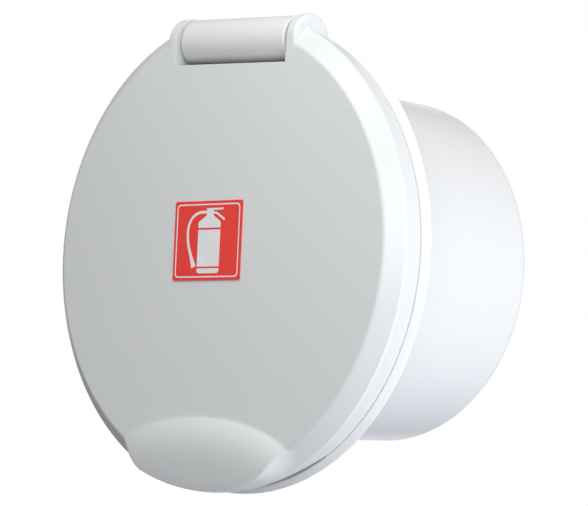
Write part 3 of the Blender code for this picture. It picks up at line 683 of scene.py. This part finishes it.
def make_housing():
    floor_y = DRUM_END_Y - HOUSING_WALL
    housing = turned("housing_shell", rounded([
        (FLANGE_RADIUS, FLANGE_BACK_Y, 0.6 * MM),
        (DRUM_ROOT_RADIUS, FLANGE_BACK_Y, 0),
        (DRUM_END_RADIUS, DRUM_END_Y, DRUM_CORNER),
        (0, DRUM_END_Y, 0),
        (0, floor_y, 0),
        (DRUM_END_RADIUS - HOUSING_WALL, floor_y, DRUM_CORNER - HOUSING_WALL),
        (MOUTH_RADIUS, FLANGE_BACK_Y, 0),
        (MOUTH_RADIUS, RIM_Y, 0.3 * MM),
        (COLLAR_RADIUS, RIM_Y, 0.3 * MM),
        (COLLAR_RADIUS, FLANGE_FRONT_Y, 0),
        (FLANGE_FRONT_RADIUS, FLANGE_FRONT_Y, 0.5 * MM),
    ]))
    flat = block(
        "flat",
        (-FLANGE_RADIUS, RIM_Y, FLANGE_FLAT_HEIGHT),
        (FLANGE_RADIUS, 3 * MM, FLANGE_RADIUS + 5 * MM),
    )
    reliefs = []
    for side in (-1, 1):
        low_x, high_x = sorted((side * KNUCKLE_HALF_LENGTH, side * RELIEF_OUTSIDE_X))
        reliefs.append(rod(f"relief_{side}", EAR_RADIUS + RELIEF_GAP, low_x, high_x))
    cut(housing, flat, *reliefs)
    knuckle = rod("knuckle", KNUCKLE_RADIUS, -KNUCKLE_HALF_LENGTH, KNUCKLE_HALF_LENGTH, KNUCKLE_ROUND)
    knuckle_bottom = HINGE.z - KNUCKLE_RADIUS
    half = KNUCKLE_HALF_LENGTH - KNUCKLE_ROUND
    web = block(
        "web",
        (-half, HINGE.y, knuckle_bottom - WEB_DROP),
        (half, FLANGE_BACK_Y - 0.5 * MM, knuckle_bottom + WEB_RISE),
    )
    shelf = block(
        "shelf",
        (-SHELF_HALF_WIDTH, FLANGE_FRONT_Y, SHELF_LOW),
        (SHELF_HALF_WIDTH, SHELF_BACK_Y, SHELF_HIGH),
    )
    join(housing, web, knuckle, shelf)

    # Holes that run past both faces of what they go through.
    bore_end = KNUCKLE_HALF_LENGTH + 5 * MM
    holes = [rod("knuckle_bore", BUSH_RADIUS + RUNNING_GAP, -bore_end, bore_end)]
    front, back = -8 * MM, 1 * MM
    outline = [(0, front), (HOLE_RADIUS, front), (HOLE_RADIUS, back), (0, back)]
    for index in range(1, SCREW_COUNT + 1):
        middle = centre_of(f"mounting_screw_{index}")
        holes.append(turned(f"hole_{index}", outline, 32, "Y", (middle.x, 0, middle.z)))
    cut(housing, *holes)
    settle(housing, 28)
    return place_piece(housing, "case", "housing", WHITE)


def centre_of(node):
    low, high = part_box(node)
    return (low + high) / 2


# Small hardware

def make_seal():
    slot_front = RIM_Y - SEAL_GAP
    front = LID_INSIDE_Y + SEAL_GAP
    outline = rounded([
        (SEAL_SLOT_INNER_RADIUS, SEAL_BACK_Y, 0),
        (SEAL_SLOT_INNER_RADIUS, slot_front, 0),
        (SEAL_SLOT_OUTER_RADIUS, slot_front, 0),
        (SEAL_SLOT_OUTER_RADIUS, SEAL_BACK_Y, 0),
        (SEAL_OUTER_RADIUS, SEAL_BACK_Y, SEAL_EDGE),
        (SEAL_OUTER_RADIUS, front, SEAL_CROWN),
        (SEAL_INNER_RADIUS, front, SEAL_CROWN),
        (SEAL_INNER_RADIUS, SEAL_BACK_Y, SEAL_EDGE),
    ])
    return place_piece(turned("edge_seal", outline), "case", "rim_seal", RUBBER)


def make_screws():
    upright = Matrix.Rotation(math.pi / 2, 4, "X")
    for index in range(1, SCREW_COUNT + 1):
        node = f"mounting_screw_{index}"
        low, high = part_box(node)
        middle = (low + high) / 2
        seat_y = low.y + SCREW_HEAD_HEIGHT
        screw = pan_head_screw(f"case_screw_{index}", high.y - seat_y)
        turn = Matrix.Rotation(SCREW_TURN * index, 4, "Y")
        place = Matrix.Translation((middle.x, seat_y, middle.z))
        screw.data.transform(place @ turn @ upright)
        place_piece(screw, "case", node, STEEL)


def pan_head_screw(name, length):
    """A screw whose head rests on its own XY plane, with a ridged shank down -Z for its thread."""
    head_radius, head_height, radius = SCREW_HEAD_RADIUS, SCREW_HEAD_HEIGHT, SCREW_RADIUS
    outline = rounded([
        (0, head_height, 0),
        (head_radius, head_height, 0.7 * head_height),
        (head_radius, 0, 0.15 * MM),
        (radius, 0, 0),
    ])
    root = radius * THREAD_ROOT
    turns = int((length - 2 * radius) / THREAD_PITCH)
    for index in range(turns):
        z = -THREAD_PITCH * (index + 1)
        outline += [
            (root, z + 0.45 * THREAD_PITCH),
            (radius, z + 0.1 * THREAD_PITCH),
            (radius, z),
            (root, z - 0.35 * THREAD_PITCH),
        ]
    outline += [(0, -length)]
    screw = turned(name, outline, 48, "Z", sharp=35)
    bars = []
    far, near = 0.55 * head_radius, 0.13 * head_radius
    for turn in (0, math.pi / 2):
        floor = 0.35 * head_height
        bar = block(f"{name}_recess_{turn:.0f}", (-far, -near, floor), (far, near, 2 * head_height))
        bar.data.transform(Matrix.Rotation(turn, 4, "Z"))
        bars.append(bar)
    join(bars[0], bars[1])
    cut(screw, bars[0])
    return screw


def make_hinge_hardware():
    low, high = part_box("hinge_pin")
    pin = rod("pin", PIN_RADIUS, low.x, high.x, PIN_ROUND)
    place_piece(pin, "lid", "hinge_pin", STEEL)
    bore = PIN_RADIUS + RUNNING_GAP
    for side, word in ((-1, "left"), (1, "right")):
        outline = rounded([
            (bore, side * BUSH_OUTSIDE_X, 0.2 * MM),
            (BUSH_FLANGE_RADIUS, side * BUSH_OUTSIDE_X, 0.3 * MM),
            (BUSH_FLANGE_RADIUS, side * BUSH_SHOULDER_X, 0.1 * MM),
            (BUSH_RADIUS, side * BUSH_SHOULDER_X, 0),
            (BUSH_RADIUS, side * BUSH_INSIDE_X, 0.3 * MM),
            (bore, side * BUSH_INSIDE_X, 0.2 * MM),
        ])
        bush = turned(f"bush_{word}", outline, SMALL_STEPS, "X", HINGE)
        place_piece(bush, "case", f"hinge_bush_{word}", ACETAL)


def carry_over():
    """CAD nodes whose shape is right, with a better material."""
    for node, finish, bevel in (
        ("catch_clip", ACETAL, 0.25 * MM),
        ("catch_screw", STEEL, 0),
        ("mounting_gasket", FOAM, 0),
        ("blanket_band", ELASTIC, 0),
    ):
        made = frame["nodes"][node]
        made.data.materials.clear()
        made.data.materials.append(finish)
        if bevel:
            step = made.modifiers.new("edges", "BEVEL")
            step.width = bevel
            step.segments = 2
            step.limit_method = "ANGLE"


# The sign

SIGN_MIDDLE = centre_of("sign_plate")
SIGN_TILT = math.radians(1.7)
SIGN_WIDTH = 39 * MM
SIGN_HEIGHT = 33 * MM
SIGN_FRONT_Y, SIGN_BACK_Y = (corner.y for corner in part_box("sign_plate"))
SIGN_CORNER = 0.8 * MM
BORDER_INSET = 1.2 * MM
BORDER_WIDTH = 0.55 * MM
BORDER_CORNER = 1.8 * MM
PRINT_LIFT = 0.002 * MM
PRINT_THICKNESS = 0.04 * MM

# The symbol's sizes, sideways and upwards from the sign's middle
BOTTLE_LEFT = -5.5 * MM
BOTTLE_RIGHT = 7.3 * MM
BASE_LOW = -13.6 * MM
BASE_HIGH = -11.5 * MM
BODY_LOW = -10.8 * MM
BODY_HIGH = 4.5 * MM
SHOULDER_LOW = 5.3 * MM
SHOULDER_HIGH = 7.8 * MM
NECK_LEFT = -0.9 * MM
NECK_RIGHT = 3.0 * MM
NECK_LOW = 10.4 * MM
NECK_TOP = 13.5 * MM


def on_sign(a, b, y):
    """A point of the sign from its own sideways and upward distances."""
    x = a * math.cos(SIGN_TILT) - b * math.sin(SIGN_TILT)
    z = a * math.sin(SIGN_TILT) + b * math.cos(SIGN_TILT)
    return SIGN_MIDDLE.x + x, y, SIGN_MIDDLE.z + z


def rounded_rectangle(half_width, half_height, fillet):
    """The outline of a rectangle about the sign's middle."""
    return rounded([
        (-half_width, -half_height, fillet),
        (half_width, -half_height, fillet),
        (half_width, half_height, fillet),
        (-half_width, half_height, fillet),
    ], math.radians(15))


def frame_ring(name, half_width, half_height, fillet, width, near, far):
    """A thin raised border line inside the sign's edge."""
    rings = []
    for inset, y in ((0, near), (0, far), (width, far), (width, near), (0, near)):
        outline = rounded_rectangle(half_width - inset, half_height - inset, fillet - inset / 2)
        rings.append([on_sign(a, b, y) for a, b in outline])
    made = from_grid(name, rings)
    weld(made)
    return made


def along_strip(points, widths):
    """The closed outline of a strip with these half widths along a smooth line through the points."""
    fine = []
    steps = 6
    ends = [points[0], *points, points[-1]]
    for index in range(len(points) - 1):
        a, b, c, d = (Vector(ends[index + offset]) for offset in range(4))
        for step in range(steps):
            t = step / steps
            bend = (a - 2.5 * b + 2 * c - d / 2) * t**2
            twist = (1.5 * (b - c) + (d - a) / 2) * t**3
            middle = b + (c - a) * t / 2 + bend + twist
            fine.append((middle, widths[index] + (widths[index + 1] - widths[index]) * t))
    fine.append((Vector(points[-1]), widths[-1]))
    left, right = [], []
    for index, (middle, half) in enumerate(fine):
        before, after = fine[max(index - 1, 0)][0], fine[min(index + 1, len(fine) - 1)][0]
        direction = (after - before).normalized()
        aside = Vector((-direction.y, direction.x)) * half
        left.append(tuple(middle + aside))
        right.append(tuple(middle - aside))
    return left + right[::-1]


def make_sign():
    half_width, half_height = SIGN_WIDTH / 2, SIGN_HEIGHT / 2
    plate_outline = rounded_rectangle(half_width, half_height, SIGN_CORNER)
    plate = prism("sign_sticker", [plate_outline], on_sign, SIGN_FRONT_Y, SIGN_BACK_Y)
    place_piece(plate, "lid", "sign_plate", RED)

    print_back, print_front = SIGN_FRONT_Y - PRINT_LIFT, SIGN_FRONT_Y - PRINT_THICKNESS
    border = frame_ring(
        "sign_border", half_width - BORDER_INSET, half_height - BORDER_INSET, BORDER_CORNER, BORDER_WIDTH,
        print_back, print_front,
    )
    place_piece(border, "lid", None, PRINT)

    # A plain extinguisher: a bottle in three bands, a neck with two levers, and a hose.
    left, right = BOTTLE_LEFT, BOTTLE_RIGHT
    foot = 1.2 * MM
    base = rounded([
        (left, BASE_LOW, foot), (right, BASE_LOW, foot), (right, BASE_HIGH, 0), (left, BASE_HIGH, 0),
    ])
    body = [(left, BODY_LOW), (right, BODY_LOW), (right, BODY_HIGH), (left, BODY_HIGH)]
    shoulder = rounded([
        (left, SHOULDER_LOW, 0),
        (right, SHOULDER_LOW, 0),
        (right, SHOULDER_HIGH, 1 * MM),
        (NECK_RIGHT, NECK_LOW, 0.8 * MM),
        (NECK_RIGHT, NECK_TOP, 0),
        (NECK_LEFT, NECK_TOP, 0),
        (NECK_LEFT, NECK_LOW, 0.8 * MM),
        (left, SHOULDER_HIGH, 1 * MM),
    ])
    upper_lever = [
        (NECK_RIGHT, 12.6 * MM), (8.3 * MM, 12.7 * MM), (8.8 * MM, NECK_TOP), (NECK_RIGHT, NECK_TOP),
    ]
    lower_lever = along_strip(
        [(NECK_RIGHT, 11.6 * MM), (4.9 * MM, 11.3 * MM), (7.4 * MM, 9.9 * MM), (9.6 * MM, 8.6 * MM)],
        [0.42 * MM, 0.42 * MM, 0.45 * MM, 0.5 * MM],
    )
    hose = along_strip(
        [
            (NECK_LEFT, 11.8 * MM), (-5.0 * MM, 11.7 * MM), (-8.8 * MM, 10.0 * MM), (-11.0 * MM, 6.8 * MM),
            (-11.6 * MM, 2.6 * MM), (-10.8 * MM, -2.2 * MM), (-9.2 * MM, -6.4 * MM), (-7.4 * MM, -11.0 * MM),
        ],
        [0.55 * MM, 0.58 * MM, 0.6 * MM, 0.6 * MM, 0.6 * MM, 0.65 * MM, 0.8 * MM, 1.3 * MM],
    )
    outlines = [base, body, shoulder, upper_lever, lower_lever, hose]
    symbol = prism("sign_symbol", outlines, on_sign, print_back, print_front)
    place_piece(symbol, "lid", None, PRINT)


# The blanket, folded in a zigzag to a strip and rolled up

def make_blanket():
    low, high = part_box("blanket")
    middle = (low + high) / 2
    outer = (high.x - low.x) / 2 - 0.6 * MM
    inner = ROLL_INNER_RADIUS
    front, back = low.y + 0.8 * MM, high.y - 0.8 * MM
    spacing = LAYER_SPACING
    pitch = LAYERS * spacing
    turns = (outer - LAYERS * spacing / 2 - inner - LAYERS * spacing / 2) / pitch
    steps = int(turns * ROLL_STEPS_PER_TURN)

    # The folded strip's section, as (distance outwards, y): straight runs and the folds between them.
    section = []
    for layer in range(LAYERS):
        offset = (layer - (LAYERS - 1) / 2) * spacing
        forward = layer % 2 == 0
        ends = (front, back) if forward else (back, front)
        inset = FOLD_REACH if forward else -FOLD_REACH
        for share in (0, 0.5, 1):
            y = ends[0] + inset + (ends[1] - ends[0] - 2 * inset) * share
            section.append((offset, y))
        if layer < LAYERS - 1:
            side = 1 if forward else -1
            for step in range(1, FOLD_STEPS):
                angle = math.pi * step / FOLD_STEPS
                reach = FOLD_REACH * math.sin(angle)
                section.append((offset + spacing * (1 - math.cos(angle)) / 2, ends[1] - inset + side * reach))
    spread = np.random.default_rng(4)
    ripple = spread.normal(0, 1, (LAYERS, 3))
    lengths = [0.0]
    for before, after in zip(section, section[1:]):
        lengths.append(lengths[-1] + math.dist(before, after))
    shape = bmesh.new()
    uv = shape.loops.layers.uv.new("UVMap")
    rings = []
    travelled = 0.0
    for step in range(steps + 1):
        angle = TAU * turns * step / steps
        radius = inner + pitch / 2 + pitch * angle / TAU
        if step:
            travelled += radius * TAU * turns / steps
        ring = []
        for index, (offset, y) in enumerate(section):
            layer = min(index // (3 + FOLD_STEPS - 1), LAYERS - 1)
            phase = ripple[layer]
            sway = 0.5 * MM * math.sin(angle * 2.3 + 3 * phase[0])
            sway += 0.3 * MM * math.sin(angle * 5.1 + 5 * phase[1])
            out = radius + offset + 0.08 * MM * math.sin(angle * 7 + 4 * phase[2])
            place = (
                middle.x + out * math.cos(angle + ROLL_START_ANGLE),
                min(max(y + sway, low.y), high.y),
                middle.z + out * math.sin(angle + ROLL_START_ANGLE),
            )
            ring.append((shape.verts.new(place), (travelled, lengths[index])))
        rings.append(ring)
    for ring, following in zip(rings, rings[1:]):
        for index in range(len(section) - 1):
            corners = [ring[index], ring[index + 1], following[index + 1], following[index]]
            face = shape.faces.new([vert for vert, _ in corners])
            for loop, (_, place) in zip(face.loops, corners):
                loop[uv].uv = place
    made = finished_mesh("rolled_blanket", shape, 80)
    skin = made.modifiers.new("cloth", "SOLIDIFY")
    skin.thickness = CLOTH_THICKNESS
    skin.offset = 0
    settle(made, 60)
    place_piece(made, "case", "blanket", GLASS)


# Pull tapes

def make_tape(word):
    """A webbing loop that comes out of the roll, hangs in front of it and turns back up behind itself."""
    node = f"pull_tape_{word}"
    low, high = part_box(node)
    thickness = TAPE_THICKNESS
    bend = TAPE_BEND
    top, bottom = high.z - thickness / 2, low.z + thickness / 2
    front = low.y + thickness / 2
    behind = front + 2 * bend
    route = [(high.y, top), (high.y - bend, top + 0.1 * MM)]
    for step in range(13):
        angle = TAU / 4 + TAU / 4 * step / 12
        route.append((front + bend + bend * math.cos(angle), top - bend + bend * math.sin(angle)))
    for step in range(1, 8):
        route.append((front, top - bend + (bottom - top + 2 * bend) * step / 8))
    for step in range(19):
        angle = TAU / 2 + TAU / 2 * step / 18
        route.append((front + bend + bend * math.cos(angle), bottom + bend + bend * math.sin(angle)))
    end = (top + bottom) / 2
    for step in range(1, 5):
        route.append((behind, bottom + bend + (end - bottom - bend) * step / 4))
    shape = bmesh.new()
    uv = shape.loops.layers.uv.new("UVMap")
    half = thickness / 2
    width = high.x - low.x
    corners = [
        (0, -half, TAPE_EDGE), (width, -half, TAPE_EDGE), (width, half, TAPE_EDGE), (0, half, TAPE_EDGE),
    ]
    outline = rounded(corners, math.radians(30))
    rings = []
    travelled = 0.0
    for index, point in enumerate(route):
        before, after = route[max(index - 1, 0)], route[min(index + 1, len(route) - 1)]
        direction = (Vector(after) - Vector(before)).normalized()
        aside = Vector((-direction.y, direction.x))
        if index:
            travelled += math.dist(point, route[index - 1])
        profile = []
        for a, b in outline:
            wave = TAPE_WAVE * math.sin(travelled / TAPE_WAVE_LENGTH) * math.sin(math.pi * a / width)
            y, z = Vector(point) + aside * (b + wave)
            profile.append((shape.verts.new((low.x + a, y, z)), (a + b, travelled)))
        rings.append(profile)
    for ring, following in zip(rings, rings[1:]):
        for index in range(len(ring)):
            second = (index + 1) % len(ring)
            corners = [ring[index], ring[second], following[second], following[index]]
            face = shape.faces.new([vert for vert, _ in corners])
            for loop, (_, place) in zip(face.loops, corners):
                loop[uv].uv = place
    shape.faces.new([vert for vert, _ in rings[0]])
    shape.faces.new([vert for vert, _ in rings[-1]])
    made = finished_mesh(f"tape_{word}", shape, 50)
    place_piece(made, "case", node, WEBBING)


# Camera, lights and floor

PALE_BLUE = (0.86, 0.92, 1.0)
SKY_DIM = (0.05, 0.055, 0.07, 1)
SKY_BRIGHT = (0.77, 0.77, 0.77, 1)
SKY_DIRECTION = (0.45, 0, 0.7)
FLOOR_HALF_WIDTH = 2.2
FLOOR_BOTTOM = -0.43
FLOOR_TOP = -0.42


def make_camera():
    """The camera looks at the lid from its right and a little below, through a long lens."""
    azimuth, elevation, roll = 0.76283, -0.05207, 0.06651
    distance = 1.4
    aim_right, aim_up = 0.032176, -0.001077
    back = Vector((
        math.sin(azimuth) * math.cos(elevation),
        -math.cos(azimuth) * math.cos(elevation),
        math.sin(elevation),
    ))
    level = Vector((math.cos(azimuth), math.sin(azimuth), 0))
    upright = back.cross(level)
    right = level * math.cos(roll) + upright * math.sin(roll)
    up = upright * math.cos(roll) - level * math.sin(roll)
    camera = bpy.data.objects.new("camera", bpy.data.cameras.new("camera"))
    bpy.context.scene.collection.objects.link(camera)
    turn = Matrix((right, up, back)).transposed().to_4x4()
    place = Vector((0, FACE_Y, 0)) + right * aim_right + up * aim_up + back * distance
    camera.matrix_world = Matrix.Translation(place) @ turn
    camera.data.lens = 207.7
    camera.data.sensor_width = 36
    camera.data.clip_end = 30
    bpy.context.scene.camera = camera


def soft_light(name, azimuth, elevation, distance, size, power, colour=(1, 1, 1)):
    """A square soft light that points at the case. Azimuth 0 is in front, and 90 is on the right."""
    light = bpy.data.lights.new(name, "AREA")
    light.energy = power
    light.size = size
    light.color = colour
    made = bpy.data.objects.new(name, light)
    bpy.context.scene.collection.objects.link(made)
    a, e = math.radians(azimuth), math.radians(elevation)
    away = Vector((math.sin(a) * math.cos(e), -math.cos(a) * math.cos(e), math.sin(e)))
    made.location = away * distance
    made.rotation_mode = "QUATERNION"
    made.rotation_quaternion = (-away).to_track_quat("-Z", "Y")


def make_world():
    """White to the camera, and a dimmer light on the case that is bluish from below and from its left."""
    world = bpy.data.worlds.new("studio")
    world.use_nodes = True
    bpy.context.scene.world = world
    tree = world.node_tree
    direction = add_node(tree, "ShaderNodeTexCoord").outputs["Generated"]
    sides = {0: direction, 1: SKY_DIRECTION}
    brighter = add_node(tree, "ShaderNodeVectorMath", sides, operation="DOT_PRODUCT")
    share = add_node(tree, "ShaderNodeMapRange", {"Value": brighter.outputs["Value"], "From Min": -1.0})
    share = share.outputs["Result"]
    ramp = add_node(tree, "ShaderNodeValToRGB", {"Fac": share})
    ramp.color_ramp.elements[0].color = SKY_DIM
    ramp.color_ramp.elements[1].color = SKY_BRIGHT
    around = tree.nodes["Background"]
    tree.links.new(ramp.outputs["Color"], around.inputs["Color"])
    behind = add_node(tree, "ShaderNodeBackground", {"Color": (1, 1, 1, 1)})
    path = add_node(tree, "ShaderNodeLightPath")
    choice = add_node(tree, "ShaderNodeMixShader", {"Fac": path.outputs["Is Camera Ray"]})
    tree.links.new(around.outputs["Background"], choice.inputs[1])
    tree.links.new(behind.outputs["Background"], choice.inputs[2])
    tree.links.new(choice.outputs["Shader"], tree.nodes["World Output"].inputs["Surface"])


def make_studio():
    make_world()
    soft_light("key", azimuth=54, elevation=12, distance=0.62, size=0.4, power=1.35)
    soft_light("side", azimuth=112, elevation=5, distance=1.2, size=0.8, power=2.1)
    soft_light("top", azimuth=20, elevation=52, distance=0.36, size=0.22, power=0.32)
    soft_light("bounce", azimuth=114, elevation=-42, distance=1.0, size=0.8, power=5.6, colour=PALE_BLUE)
    soft_light("fill", azimuth=220, elevation=0, distance=1.4, size=1.0, power=3.0)
    reach = FLOOR_HALF_WIDTH
    floor = block("floor", (-reach, -reach, FLOOR_BOTTOM), (reach, reach, FLOOR_TOP))
    floor.visible_diffuse = False
    floor.visible_glossy = False
    floor.visible_shadow = False
    floor_paint, tree, shader = shader_of("floor_paint", (0.9, 0.9, 0.9), 0.9, Emission_Color=(1, 1, 1, 1))
    shader.inputs["Emission Strength"].default_value = 0.5
    spread_colour(tree, shader, noise(tree, 3), (0.88, 0.88, 0.88), (0.92, 0.92, 0.92))
    floor.data.materials.append(floor_paint)
    bpy.context.scene.view_settings.view_transform = "Standard"


make_camera()
make_studio()
make_lid()
make_housing()
make_seal()
make_screws()
make_hinge_hardware()
make_sign()
make_blanket()
make_tape("left")
make_tape("right")
carry_over()
